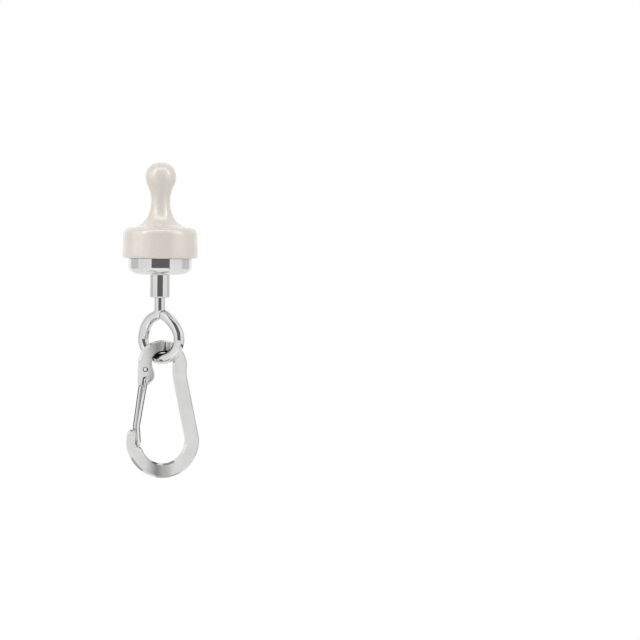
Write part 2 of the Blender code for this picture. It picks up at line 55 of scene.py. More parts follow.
# Camera: columns and rows of the photograph's pixels, metres, and the sensor in millimetres
PICTURE_PIXELS = 640
METRES_PER_PIXEL = 0.000394
CAMERA_DISTANCE = 0.9
CAMERA_LIFT = math.radians(2.0)
CAMERA_ROLL = math.radians(0.6)
CLIP_SHARE = 0.01
SENSOR_WIDTH = 36.0
AXIS_COLUMN = 160.1
AIM_ROW = 268.0
AXIS_ROW = 259.2

# Studio
FLOOR_DROP = 0.030
FLOOR_HALF_SIDE = 6.0
FLOOR_WHITE = 0.97
FLOOR_GLOW_SHARE = 0.8
FLOOR_GLOW = 1.045
WORLD_STRENGTH = 0.86
RING_RADIUS = 1.6
RING_TOP = 2.2
RING_BOTTOM = -0.7
RING_STEPS = 180
RING_TURN = math.radians(4.5)
# Angle from the front as a share of a half turn, and the grey there
RING_GREYS = ((0.0, 0.97), (0.474, 0.97), (0.484, 0.73), (0.71, 0.73), (0.735, 1.06))
LAMP_DISTANCE = 0.8
# Lamps: azimuth from the front and lift in degrees, width, height, power in watts, and
# whether only highlights see the lamp
LAMPS = (
    ("left_lamp", -70, 18, 0.60, 0.60, 1.15, False),
    ("right_lamp", 66, 16, 0.50, 0.50, 0.50, False),
    ("front_lamp", 12, 60, 1.20, 0.30, 0.85, False),
    ("left_glint", -52, 32, 0.14, 0.40, 0.9, True),
    ("right_glint", 68, 30, 0.16, 0.42, 1.0, True),
    ("top_glint", 5, 68, 1.30, 0.22, 2.0, True),
)

# Curved cards that only reflections see: azimuths from the front in degrees, radius and height
# of one edge, radius and height of the other, strength. The dark card makes the stripe on pot
# and wires, the left and right flags the gate's dark edges, the plate flags the grey band across
# crown and bow, and the foot flags the dark line under bow and eye.
CARDS = (
    ("dark_card", -25.5, 37.0, 0.110, -0.038, 0.110, 0.151, 0.15),
    ("left_flag", -100.0, -57.0, 0.0306, -0.080, 0.020, -0.044, 0.15),
    ("right_flag", 52.0, 118.0, 0.097, -0.084, 0.060, -0.051, 0.15),
    ("plate_flag", 38.2, 39.6, 0.120, -0.140, 0.120, -0.036, 0.24),
    ("plate_flag_left", 37.1, 38.2, 0.120, -0.140, 0.120, -0.036, 0.66),
    ("plate_flag_right", 39.6, 41.8, 0.120, -0.140, 0.120, -0.036, 0.58),
    ("left_window", -54.0, -34.0, 1.500, 0.130, 1.500, 1.090, 1.15),
    ("right_window", 62.0, 98.0, 1.500, 0.160, 1.500, 1.800, 1.15),
    ("floor_glint", -30.0, 40.0, 1.500, -1.920, 1.500, -1.260, 1.25),
    ("foot_flag", 60.0, 165.0, 0.040, -0.120, 0.001, -0.120, 0.60),
    ("foot_flag_left", -70.0, -30.0, 0.060, -0.120, 0.020, -0.120, 0.50),
    ("ceiling", -180.0, 180.0, 0.780, 2.050, 0.001, 2.100, 0.36),
)
CARD_STEP = math.radians(1.0)

# Pieces: fine piece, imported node, body and material slot, which also names its finish
STAND_INS = (
    ("fine_pot_cup", "pot_cup", "pot", "polished_steel"),
    ("fine_pot_magnet", "pot_magnet", "pot", "nickel"),
    ("fine_magnet_spacer", "magnet_spacer", "pot", "spacer"),
    ("fine_threaded_sleeve", "threaded_sleeve", "pot", "polished_steel"),
    ("fine_knob_shell", "knob_shell", "knob", "knob"),
    ("fine_knob_magnet", "knob_magnet", "knob", "nickel"),
    ("fine_eye_bolt", "eye_bolt", "eye", "wire"),
    ("fine_carabiner_frame", "carabiner_frame", "carabiner", "plate"),
    ("fine_gate_wire", "gate_wire", "gate", "gate"),
)
# Empties and cutters that are removed once the pieces have been baked
GUIDES = ("eye_turn_axis", "carabiner_swing_axis", "gate_axis", "upper_hole", "lower_slot")

# Clearances
SEAT_GAP = 0.0003
WIRE_GAP = 0.0002
CUT_OVERRUN = 0.0010
MERGE_DISTANCE = 0.000002

# Pot magnet: steel cup, magnet disc, spacer ring and threaded sleeve
POT_RADIUS = 0.0125
POT_HEIGHT = 0.0062
POT_WALL = 0.0016
POT_FLOOR = 0.0015
POT_ROUND_WIDTH = 0.0050
POT_ROUND_HEIGHT = 0.0032
POT_RIM_BEVEL = 0.00012
RIM_RELIEF = 0.00003
SPACER_WALL = 0.0009
MAGNET_BEVEL = 0.0003
SLEEVE_RADIUS = 0.0040
SLEEVE_LENGTH = 0.0087
SLEEVE_BEVEL = 0.0006
SPIGOT_RADIUS = 0.0032

# Knob: pawn shaped plastic shell with a magnet disc in its base
KNOB_HEIGHT = 0.0378
KNOB_BASE_RADIUS = 0.01488
KNOB_BASE_DRAFT = 0.00035
KNOB_BASE_HEIGHT = 0.0119
KNOB_FOOT_ROUND = 0.0010
KNOB_SHOULDER_ROUND = 0.0028
KNOB_SHOULDER_RISE = 0.0004
KNOB_FLARE_RADIUS = 0.0112
KNOB_NECK_RADIUS = 0.00375
KNOB_NECK_HEIGHT = 0.0226
KNOB_BALL_RADIUS = 0.0061
KNOB_BALL_FULLNESS = 2.25
KNOB_WALL = 0.0016
KNOB_MAGNET_DEPTH = 0.0060

# Eye: one wire with a straight shank, a side bend and a teardrop loop
WIRE_RADIUS = 0.0022
SHANK_ENGAGEMENT = 0.0070
SHANK_LENGTH = 0.0045
SHANK_BEVEL = 0.0004
BEND_RADIUS = 0.0028
BEND_ANGLE = math.radians(50)
LOOP_OFFSET = 0.00078
LOOP_HALF_WIDTH = 0.00872
LOOP_HALF_DROP = 0.00785
LOOP_RISE = 0.0098
LOOP_MIDDLE_DROP = 0.01615
LOOP_LEFT_SHARES = ((-0.552, 0.805), (-0.755, 0.625), (-0.905, 0.375))
LOOP_RIGHT_SHARES = ((0.955, 0.235), (0.775, 0.500), (0.520, 0.735), (0.275, 0.900), (0.110, 0.985))
EYE_TURN = math.radians(-32)

# Carabiner: flat plate frame with chamfered edges, drawn from the eye's lowest point
PLATE_THICKNESS = 0.0022
PLATE_CHAMFER = 0.00070
SEAT_CHAMFER = 0.00015
PLATE_TURN = math.radians(54)
PLATE_HANG = math.radians(0.5)
PLATE_FORWARD = 0.00059
CROWN_X = 0.00020
CROWN_Z = -0.0030
CROWN_RADIUS = 0.01035
CORNER_RADIUS = 0.00789
CORNER_ANGLE = math.radians(140)
WAIST_X = 0.01040
WAIST_Z = -0.0052
ARM_RUN_SHARE = 0.944
ARM_TOP_SHARE = 0.25
BOW_X = 0.0011
BOW_Z = -0.0324
BOW_HALF_WIDTH = 0.01504
BOW_DROP = 0.0147
BOW_SHOULDER = 0.0095
BOW_RIGHT_FULLNESS = 2.04
BOW_LEFT_FULLNESS = 1.92
ARM_WIDTH = 0.00596
BOW_FLOOR_WIDTH = 0.00575
ARCH_PEAK_X = 0.0012
ARCH_Z = -0.0020
ARCH_LEFT_WIDTH = 0.0053
ARCH_RIGHT_WIDTH = 0.00345
ARCH_HEIGHT = 0.00456
ARCH_LEFT_FULLNESS = 2.2
ARCH_RIGHT_FULLNESS = 2.9
ARM_BLEND_RADIUS = 0.018
# Face attribute of the arch's wall that takes painted shade, and the shares of its height between
# which the shade is painted
ARCH_SHADE_MARK = "painted_arch_shade"
ARCH_SHADE_LOW_SHARE = 0.42
ARCH_SHADE_HIGH_SHARE = 1.02
NOSE_RISE = 0.0047
NOSE_INSET = 0.00054
NOSE_WIDTH = 0.00310
NOSE_LENGTH = 0.00675
NOSE_OUTER_ROUND = 0.0020
NOSE_INNER_ROUND = 0.0008
SEAT_ROUND = 0.0003
SEAT_LIP_ROUND = 0.0022
SEAT_SPAN = 0.0012
LUG_LEFT_X = -0.00962
LUG_RIGHT_X = -0.00290
LUG_BOTTOM_Z = -0.0108
LUG_CORNER_ROUND = 0.0009
LUG_BULGE_SHARES = ((0.885, 0.170), (1.0, 0.440), (0.955, 0.700), (0.780, 0.860), (0.585, 0.975))

# Gate: one bent wire, its upper foot in a round hole and its lower foot in a slot below it
GATE_WIRE_RADIUS = 0.00087
GATE_BEND_RADIUS = 0.0010
GATE_PIVOT_X = -0.00687
GATE_PIVOT_Z = -0.00416
GATE_FOOT_SPACING = 0.00386
GATE_KNEE_SET = 0.00061
GATE_KNEE_RISE = 0.00125
GATE_LEG_SPREAD = -0.00015
GATE_TIP_GAP = 0.00010
GATE_SEAT_GAP = 0.00010
GATE_POCKET_DEPTH = 0.0004
GATE_OPENING = math.radians(22)

# Mesh fineness
TURN_STEPS = 192
ARC_STEP = math.radians(3)
ROUND_STEP = math.radians(9)
WIRE_SIDES_HALF = 20
GATE_SIDES_HALF = 12
FLANK_STEPS = 12
LUG_STEPS = 9
MITRE_LIMIT_SHARE = 0.5
SMOOTH_ANGLE = math.radians(32)

# Places worked out from the sizes above
POT_BOTTOM = -POT_HEIGHT
RIM_TOP = SEAT_GAP - RIM_RELIEF
SLEEVE_TOP = POT_BOTTOM - SEAT_GAP
SLEEVE_SHOULDER = POT_BOTTOM - RIM_RELIEF
SLEEVE_BOTTOM = SLEEVE_TOP - SLEEVE_LENGTH
CUP_INNER_RADIUS = POT_RADIUS - POT_WALL
CUP_FLOOR_TOP = POT_BOTTOM + POT_FLOOR
POT_MAGNET_RADIUS = CUP_INNER_RADIUS - SPACER_WALL - 2 * SEAT_GAP
POT_MAGNET_BOTTOM = CUP_FLOOR_TOP + SEAT_GAP
SLEEVE_BORE_RADIUS = WIRE_RADIUS + SEAT_GAP
LOOP_MIDDLE_Z = -LOOP_MIDDLE_DROP
LOOP_BOTTOM_Z = LOOP_MIDDLE_Z - LOOP_HALF_DROP
HOLLOW_HALF_WIDTH = BOW_HALF_WIDTH - ARM_WIDTH
HOLLOW_DROP = BOW_DROP - BOW_FLOOR_WIDTH
NOSE_TOP_Z = BOW_Z + NOSE_RISE
NOSE_OUTER_X = BOW_X - BOW_HALF_WIDTH + NOSE_INSET
NOSE_INNER_X = NOSE_OUTER_X + NOSE_WIDTH
SEAT_Z = NOSE_TOP_Z - NOSE_LENGTH
GATE_TIP_X = NOSE_INNER_X + GATE_WIRE_RADIUS + GATE_TIP_GAP
GATE_TIP_Z = SEAT_Z + GATE_WIRE_RADIUS + GATE_SEAT_GAP
GATE_KNEE_X = GATE_TIP_X - GATE_KNEE_SET
GATE_KNEE_Z = NOSE_TOP_Z + GATE_KNEE_RISE

# Finishes, with linear colours
PLASTIC_COLOUR = (0.710, 0.662, 0.605)
PLASTIC_SHADE = (0.690, 0.636, 0.575)
STEEL_COLOUR = (0.74, 0.74, 0.73)
STEEL_SHADE = (0.66, 0.66, 0.655)
SPRING_COLOUR = (0.80, 0.80, 0.79)
SPRING_SHADE = (0.73, 0.73, 0.725)
NICKEL_COLOUR = (0.66, 0.64, 0.60)
NICKEL_SHADE = (0.58, 0.56, 0.52)
RESIN_COLOUR = (0.045, 0.045, 0.050)
RESIN_SHADE = (0.075, 0.075, 0.080)
# Painted shade on the wall of the plate's arch round the eye's wire
ARCH_SHADE_COLOUR = (0.025, 0.025, 0.025)
# Darkest share of the colour where shade is painted into corners
PAINTED_SHADE_DARKEST = 0.03
# Painted shade in corners and narrow gaps: its reach, then the openness at which it is full and at
# which it ends
POT_PAINTED_SHADE = (0.0012, 0.10, 0.50)
EYE_PAINTED_SHADE = (0.0040, 0.20, 0.55)
PLATE_PAINTED_SHADE = (0.0015, 0.20, 0.60)
GATE_PAINTED_SHADE = (0.0015, 0.30, 0.75)
NOISE_DETAIL = 4.0
NOISE_LOW = 0.3
NOISE_HIGH = 0.7
EVEN = (1.0, 1.0, 1.0)
# Slot: name, two colours, metallic, least and most roughness, mottle and grain (each a count per
# metre and a stretch), relief (strength and height), painted shade in corners
FINISHES = {
    "knob": ("cream_plastic", (PLASTIC_COLOUR, PLASTIC_SHADE), 0.0, (0.24, 0.34),
             (90, EVEN), (2600, EVEN), (0.10, 0.00002), None),
    "plate": ("tumbled_plate", (STEEL_COLOUR, STEEL_SHADE), 1.0, (0.06, 0.10),
              (180, EVEN), (2600, EVEN), (0.05, 0.000008), PLATE_PAINTED_SHADE),
    "nickel": ("nickel_plating", (NICKEL_COLOUR, NICKEL_SHADE), 1.0, (0.14, 0.26),
               (160, EVEN), (1800, (1.0, 1.0, 6.0)), (0.08, 0.00001), None),
    "polished_steel": ("polished_steel", (STEEL_COLOUR, STEEL_SHADE), 1.0, (0.035, 0.085),
                       (120, EVEN), (2200, (1.0, 1.0, 0.15)), (0.05, 0.000006), POT_PAINTED_SHADE),
    "spacer": ("potting_resin", (RESIN_COLOUR, RESIN_SHADE), 0.0, (0.45, 0.70),
               (500, EVEN), (3200, EVEN), (0.35, 0.00004), None),
    "wire": ("bright_wire", (STEEL_COLOUR, STEEL_SHADE), 1.0, (0.05, 0.11),
             (140, EVEN), (1700, (1.0, 1.0, 0.25)), (0.07, 0.000008), EYE_PAINTED_SHADE),
    "gate": ("spring_wire", (SPRING_COLOUR, SPRING_SHADE), 1.0, (0.04, 0.09),
             (200, EVEN), (2400, (1.0, 1.0, 0.12)), (0.08, 0.000006), GATE_PAINTED_SHADE),
}
KNOB_SUBSURFACE = 0.12
KNOB_SUBSURFACE_DEPTH = 0.0015
KNOB_COAT = 0.6
KNOB_COAT_ROUGHNESS = 0.12


def add_node(tree, kind, inputs=None, **settings):
    """Node with the given settings; an input takes a plain value or another node's output."""
    node = tree.nodes.new(kind)
    for name, value in settings.items():
        setattr(node, name, value)
    for key, value in (inputs or {}).items():
        if isinstance(value, bpy.types.NodeSocket):
            tree.links.new(value, node.inputs[key])
        else:
            node.inputs[key].default_value = value
    return node


def noise(tree, per_metre, stretch):
    """Noise in the object's own coordinates, counted per metre and stretched along an axis."""
    coordinates = add_node(tree, "ShaderNodeTexCoord")
    mapping = add_node(tree, "ShaderNodeMapping", {
        "Vector": coordinates.outputs["Object"],
        "Scale": tuple(per_metre * share for share in stretch),
    })
    texture = add_node(tree, "ShaderNodeTexNoise", {
        "Vector": mapping.outputs["Vector"],
        "Scale": 1.0,
        "Detail": NOISE_DETAIL,
    })
    return texture.outputs["Fac"]


def between(tree, value, low, high, from_low=NOISE_LOW, from_high=NOISE_HIGH):
    """Value carried from one range to another, and held at its ends."""
    node = add_node(tree, "ShaderNodeMapRange", {
        "Value": value,
        "From Min": from_low,
        "From Max": from_high,
        "To Min": low,
        "To Max": high,
    })
    return node.outputs["Result"]


def mix_colours(tree, factor, first, second, blend="MIX"):
    node = add_node(tree, "ShaderNodeMix", data_type="RGBA", blend_type=blend,
                    inputs={"Factor": factor, "A": first, "B": second})
    return node.outputs["Result"]


def finish_material(name, colours, metallic, roughness, mottle, grain, relief, painted_shade):
    """Principled material with mottled colour, uneven roughness, a fine surface grain, and painted
    shade in its corners where asked.
    """
    material = bpy.data.materials.new(name)
    material.use_nodes = True
    tree = material.node_tree
    first, second = ((*colour, 1.0) for colour in colours)
    colour = mix_colours(tree, between(tree, noise(tree, *mottle), 0.0, 1.0), first, second)
    # Painted shade: the colour darkens where ambient occlusion finds the surface closed in
    if painted_shade:
        reach, closed, opened = painted_shade
        openness = add_node(tree, "ShaderNodeAmbientOcclusion", {"Distance": reach})
        corner_shade = between(tree, openness.outputs["AO"], PAINTED_SHADE_DARKEST, 1.0, closed, opened)
        colour = mix_colours(tree, 1.0, colour, corner_shade, "MULTIPLY")
    fine = noise(tree, *grain)
    bump = add_node(tree, "ShaderNodeBump", {
        "Strength": relief[0],
        "Distance": relief[1],
        "Height": fine,
    })
    shader = tree.nodes["Principled BSDF"]
    shader.inputs["Metallic"].default_value = metallic
    tree.links.new(colour, shader.inputs["Base Color"])
    tree.links.new(between(tree, fine, *roughness), shader.inputs["Roughness"])
    tree.links.new(bump.outputs["Normal"], shader.inputs["Normal"])
    return material


def paint_arch_shade(material):
    """Painted shade, near black, on the wall of the plate's arch round the eye's wire, marked on the
    mesh's faces.
    """
    tree = material.node_tree
    base = tree.nodes["Principled BSDF"].inputs["Base Color"]
    marked = add_node(tree, "ShaderNodeAttribute", attribute_name=ARCH_SHADE_MARK)
    arch_shaded = mix_colours(tree, marked.outputs["Fac"], base.links[0].from_socket,
                          (*ARCH_SHADE_COLOUR, 1.0))
    tree.links.new(arch_shaded, base)


def make_materials():
    materials = {slot: finish_material(*finish) for slot, finish in FINISHES.items()}
    shader = materials["knob"].node_tree.nodes["Principled BSDF"]
    shader.inputs["Subsurface Weight"].default_value = KNOB_SUBSURFACE
    shader.inputs["Subsurface Scale"].default_value = KNOB_SUBSURFACE_DEPTH
    shader.inputs["Coat Weight"].default_value = KNOB_COAT
    shader.inputs["Coat Roughness"].default_value = KNOB_COAT_ROUGHNESS
    # Painted shade on the plate's arch wall
    paint_arch_shade(materials["plate"])
    return materials


def add_object(name, data, parent=None, place=(0.0, 0.0, 0.0)):
    item = bpy.data.objects.new(name, data)
    bpy.context.scene.collection.objects.link(item)
    item.parent = parent
    item.location = place
    return item


def finish_object(name, mesh, material, parent=None, place=(0.0, 0.0, 0.0)):
    """Fine piece with its finish, smooth but for its sharp edges."""
    mesh.materials.clear()
    mesh.materials.append(material)
    mesh.shade_smooth()
    mesh.set_sharp_from_angle(angle=SMOOTH_ANGLE)
    return add_object(name, mesh, parent, place)


def make_empty(name, place, turn=0.0, parent=None):
    empty = add_object(name, None, parent, place)
    empty.rotation_euler.z = turn
    return empty


def arc(centre, radius, start, end, height=None, fullness=2.0):
    """Points on a circle, or on a fuller oval with its own height, ends included."""
    height = radius if height is None else height
    count = max(2, math.ceil(abs(end - start) / ARC_STEP))
    power = 2.0 / fullness
    points = []
    for step in range(count + 1):
        angle = start + (end - start) * step / count
        across = math.copysign(abs(math.cos(angle)) ** power, math.cos(angle))
        up = math.copysign(abs(math.sin(angle)) ** power, math.sin(angle))
        points.append((centre[0] + radius * across, centre[1] + height * up))
    return points


def fillet(before, corner, after, radius):
    """Points of the round that replaces a corner between two straight runs."""
    middle = Vector(corner)
    inward = (Vector(before) - middle).normalized()
    outward = (Vector(after) - middle).normalized()
    half_angle = inward.angle(outward) / 2
    reach = radius / math.tan(half_angle)
    centre = middle + (inward + outward).normalized() * (radius / math.sin(half_angle))
    first = middle + inward * reach - centre
    last = middle + outward * reach - centre
    sweep = first.angle_signed(last)
    count = max(3, math.ceil(abs(sweep) / ROUND_STEP))
    start = math.atan2(first.y, first.x)
    points = []
    for step in range(count + 1):
        angle = start - sweep * step / count
        points.append((centre.x + radius * math.cos(angle), centre.y + radius * math.sin(angle)))
    return points


def smooth_through(points, steps):
    """Catmull-Rom curve through points of two or three coordinates."""
    knots = [Vector(point) for point in points]
    knots = [2 * knots[0] - knots[1]] + knots + [2 * knots[-1] - knots[-2]]
    curve = []
    for a, b, c, d in zip(knots, knots[1:], knots[2:], knots[3:]):
        for step in range(steps):
            t = step / steps
            curve.append(0.5 * (2 * b + (c - a) * t + (2 * a - 5 * b + 4 * c - d) * t ** 2
                                + (3 * b - a - 3 * c + d) * t ** 3))
    curve.append(knots[-2])
    return [tuple(point) for point in curve]


def circle(radius, steps):
    """Points of a full circle, the first one not repeated at its end."""
    angles = (math.tau * step / steps for step in range(steps))
    return [(radius * math.cos(angle), radius * math.sin(angle)) for angle in angles]


def add_walls(shape, lower, upper):
    """Four sided faces between two closed loops of as many points."""
    walls = []
    for index in range(len(lower)):
        after = (index + 1) % len(lower)
        walls.append(shape.faces.new((lower[index], lower[after], upper[after], upper[index])))
    return walls


def mesh_from(shape, name):
    mesh = bpy.data.meshes.new(name)
    shape.to_mesh(mesh)
    shape.free()
    return mesh


def solid_mesh(shape, name):
    """Mesh of a closed shape, whose faces are all made to look outwards."""
    bmesh.ops.recalc_face_normals(shape, faces=shape.faces)
    return mesh_from(shape, name)


def turned_mesh(name, profile):
    """Closed solid of revolution about Z from a closed outline of radius and height."""
    shape = bmesh.new()
    rings = []
    for radius, height in profile:
        places = circle(radius, TURN_STEPS) if radius else [(0.0, 0.0)]
        rings.append([shape.verts.new((x, y, height)) for x, y in places])
    pairs = list(zip(rings, rings[1:]))
    if len(rings[0]) > 1:
        pairs.append((rings[-1], rings[0]))
    for lower, upper in pairs:
        for step in range(TURN_STEPS):
            following = (step + 1) % TURN_STEPS
            corners = [lower[step % len(lower)], lower[following % len(lower)],
                       upper[following % len(upper)], upper[step % len(upper)]]
            unique = list(dict.fromkeys(corners))
            if len(unique) > 2:
                shape.faces.new(unique)
    return solid_mesh(shape, name)


def evaluated_mesh(item):
    """Mesh of a bevelled curve, or of an object with its modifiers applied."""
    depsgraph = bpy.context.evaluated_depsgraph_get()
    return bpy.data.meshes.new_from_object(item.evaluated_get(depsgraph))


def wire_mesh(name, route, radius, sides_half, tip_bevel):
    """Round wire of twice sides_half sides along a route, with a small bevel at both ends."""
    curve = bpy.data.curves.new(name, "CURVE")
    curve.dimensions = "3D"
    curve.bevel_depth = radius
    curve.bevel_resolution = sides_half - 2
    curve.use_fill_caps = True
    curve.twist_mode = "MINIMUM"
    spline = curve.splines.new("POLY")
    places = [Vector(point) for point in route]
    start = places[0] + (places[1] - places[0]).normalized() * tip_bevel
    end = places[-1] + (places[-2] - places[-1]).normalized() * tip_bevel
    tip_share = 1.0 - tip_bevel / radius
    rows = [(places[0], tip_share), (start, 1.0)]
    rows += [(place, 1.0) for place in places[1:-1]]
    rows += [(end, 1.0), (places[-1], tip_share)]
    spline.points.add(len(rows) - 1)
    for point, (place, share) in zip(spline.points, rows):
        point.co = (*place, 1.0)
        point.radius = share
    guide = add_object(name + "_guide", curve)
    mesh = evaluated_mesh(guide)
    bpy.data.objects.remove(guide, do_unlink=True)
    shape = bmesh.new()
    shape.from_mesh(mesh)
    bpy.data.meshes.remove(mesh)
    bmesh.ops.remove_doubles(shape, verts=shape.verts, dist=MERGE_DISTANCE)
    return solid_mesh(shape, name)


def inset_outline(outline, depths):
    """Outline moved into the material, which lies on the right of its direction."""
    moved = []
    for index, (point, depth) in enumerate(zip(outline, depths)):
        here = Vector(point)
        arriving = (here - Vector(outline[index - 1])).normalized()
        leaving = (Vector(outline[(index + 1) % len(outline)]) - here).normalized()
        along = (arriving + leaving).normalized()
        reach = depth / max(MITRE_LIMIT_SHARE, math.sqrt((1 + arriving.dot(leaving)) / 2))
        moved.append((here.x + along.y * reach, here.y - along.x * reach))
    return moved


def chamfer_width(point):
    """Width of the plate's chamfer, which is small where the gate's tip rests."""
    beside = abs(point[0] - NOSE_INNER_X) < SEAT_SPAN
    level = SEAT_Z - SEAT_SPAN < point[1] < NOSE_TOP_Z - SEAT_SPAN
    return SEAT_CHAMFER if beside and level else PLATE_CHAMFER


def in_arch(point):
    """Whether a point of the outline lies on the arch's wall that takes painted shade."""
    beside = abs(point[0] - ARCH_PEAK_X) < ARCH_LEFT_WIDTH
    level = ARCH_SHADE_LOW_SHARE < (point[1] - ARCH_Z) / ARCH_HEIGHT < ARCH_SHADE_HIGH_SHARE
    return beside and level


def add_layers(shape, layers):
    """Solid through outlines at distances along Y; returns the walls between each two of them."""
    loops = [[shape.verts.new((x, across, z)) for x, z in places] for across, places in layers]
    rows = [add_walls(shape, lower, upper) for lower, upper in zip(loops, loops[1:])]
    shape.faces.new(loops[0])
    shape.faces.new(list(reversed(loops[-1])))
    return rows


def plate_mesh(name, outline):
    """Flat plate in the XZ plane, its arch's wall marked for painted shade and both its faces
    chamfered.
    """
    face = PLATE_THICKNESS / 2
    side = face - PLATE_CHAMFER
    reduced = inset_outline(outline, [chamfer_width(point) for point in outline])
    shape = bmesh.new()
    mark = shape.faces.layers.float.new(ARCH_SHADE_MARK)
    layers = [(-face, reduced), (-side, outline), (side, outline), (face, reduced)]
    for row in add_layers(shape, layers):
        for wall, point in zip(row, outline):
            wall[mark] = float(in_arch(point))
    return solid_mesh(shape, name)


def magnet_profile(radius, bottom, top):
    """Half section of a disc magnet with bevelled edges."""
    return [
        (0.0, bottom),
        (radius - MAGNET_BEVEL, bottom),
        (radius, bottom + MAGNET_BEVEL),
        (radius, top - MAGNET_BEVEL),
        (radius - MAGNET_BEVEL, top),
        (0.0, top),
    ]


def build_pot(materials):
    cup_profile = [
        (SPIGOT_RADIUS + SEAT_GAP, POT_BOTTOM),
        *arc((POT_RADIUS - POT_ROUND_WIDTH, POT_BOTTOM + POT_ROUND_HEIGHT), POT_ROUND_WIDTH,
             math.radians(-90), 0.0, POT_ROUND_HEIGHT),
        (POT_RADIUS, RIM_TOP - POT_RIM_BEVEL),
        (POT_RADIUS - POT_RIM_BEVEL, RIM_TOP),
        (CUP_INNER_RADIUS, RIM_TOP),
        (CUP_INNER_RADIUS, CUP_FLOOR_TOP),
        (SPIGOT_RADIUS + SEAT_GAP, CUP_FLOOR_TOP),
    ]
    cup = turned_mesh("pot_cup", cup_profile)
    finish_object("fine_pot_cup", cup, materials["polished_steel"])

    magnet = turned_mesh("pot_magnet", magnet_profile(POT_MAGNET_RADIUS, POT_MAGNET_BOTTOM, 0.0))
    finish_object("fine_pot_magnet", magnet, materials["nickel"])

    spacer_inner = POT_MAGNET_RADIUS + SEAT_GAP
    spacer_outer = spacer_inner + SPACER_WALL
    spacer_profile = [
        (spacer_inner, POT_MAGNET_BOTTOM),
        (spacer_outer, POT_MAGNET_BOTTOM),
        (spacer_outer, -SEAT_GAP),
        (spacer_inner, -SEAT_GAP),
    ]
    spacer = turned_mesh("magnet_spacer", spacer_profile)
    finish_object("fine_magnet_spacer", spacer, materials["spacer"])

    bore_top = SLEEVE_BOTTOM + SHANK_ENGAGEMENT + SEAT_GAP
    lower_edge = (SLEEVE_RADIUS, SLEEVE_BOTTOM)
    shoulder = (SLEEVE_RADIUS, SLEEVE_SHOULDER)
    sleeve_profile = [
        (0.0, bore_top),
        (SLEEVE_BORE_RADIUS, bore_top),
        (SLEEVE_BORE_RADIUS, SLEEVE_BOTTOM + SLEEVE_BEVEL),
        (SLEEVE_BORE_RADIUS + SLEEVE_BEVEL, SLEEVE_BOTTOM),
        *fillet((0.0, SLEEVE_BOTTOM), lower_edge, shoulder, SLEEVE_BEVEL),
        shoulder,
        (SPIGOT_RADIUS, SLEEVE_SHOULDER),
        (SPIGOT_RADIUS, CUP_FLOOR_TOP),
        (0.0, CUP_FLOOR_TOP),
    ]
    sleeve = turned_mesh("threaded_sleeve", sleeve_profile)
    finish_object("fine_threaded_sleeve", sleeve, materials["polished_steel"])


def knob_outline():
    """Outer side of the pawn, from the foot up to the crown."""
    ball_z = KNOB_HEIGHT - KNOB_BALL_RADIUS
    rise = ball_z - KNOB_NECK_HEIGHT
    neck_arc = ((KNOB_NECK_RADIUS ** 2 + rise ** 2 - KNOB_BALL_RADIUS ** 2)
                / (2 * (KNOB_BALL_RADIUS - KNOB_NECK_RADIUS)))
    meet = math.atan2(-rise, KNOB_NECK_RADIUS + neck_arc)
    shoulder_z = KNOB_BASE_HEIGHT + KNOB_SHOULDER_RISE
    foot = (KNOB_BASE_RADIUS, 0.0)
    edge = (KNOB_BASE_RADIUS - KNOB_BASE_DRAFT, KNOB_BASE_HEIGHT)
    return [
        *fillet((0.0, 0.0), foot, edge, KNOB_FOOT_ROUND),
        *fillet(foot, edge, (KNOB_FLARE_RADIUS, shoulder_z), KNOB_SHOULDER_ROUND),
        *arc((KNOB_FLARE_RADIUS, KNOB_NECK_HEIGHT), KNOB_FLARE_RADIUS - KNOB_NECK_RADIUS,
             math.radians(-90), math.radians(-180), KNOB_NECK_HEIGHT - shoulder_z),
        *arc((KNOB_NECK_RADIUS + neck_arc, KNOB_NECK_HEIGHT), neck_arc,
             math.radians(180), math.radians(180) + meet)[1:],
        *arc((0.0, ball_z), KNOB_BALL_RADIUS, meet, 0.0)[1:],
        *arc((0.0, ball_z), KNOB_BALL_RADIUS, 0.0, math.radians(90), KNOB_BALL_RADIUS,
             KNOB_BALL_FULLNESS)[1:-1],
        (0.0, KNOB_HEIGHT),
    ]


def build_knob(materials):
    pocket_radius = KNOB_BASE_RADIUS - KNOB_WALL
    pocket_top = KNOB_MAGNET_DEPTH + SEAT_GAP
    shell_profile = [
        (0.0, pocket_top),
        (pocket_radius, pocket_top),
        (pocket_radius, 0.0),
        *knob_outline(),
    ]
    shell = turned_mesh("knob_shell", shell_profile)
    knob = finish_object("fine_knob_shell", shell, materials["knob"], place=(0.0, 0.0, SEAT_GAP))
    magnet = turned_mesh("knob_magnet",
                         magnet_profile(pocket_radius - SEAT_GAP, 0.0, KNOB_MAGNET_DEPTH))
    finish_object("fine_knob_magnet", magnet, materials["nickel"], knob)


def loop_flank(shares):
    """Places on the upper part of the eye's loop, from shares of its half width and its rise."""
    return [(LOOP_OFFSET + LOOP_HALF_WIDTH * across, LOOP_MIDDLE_Z + LOOP_RISE * up)
            for across, up in shares]


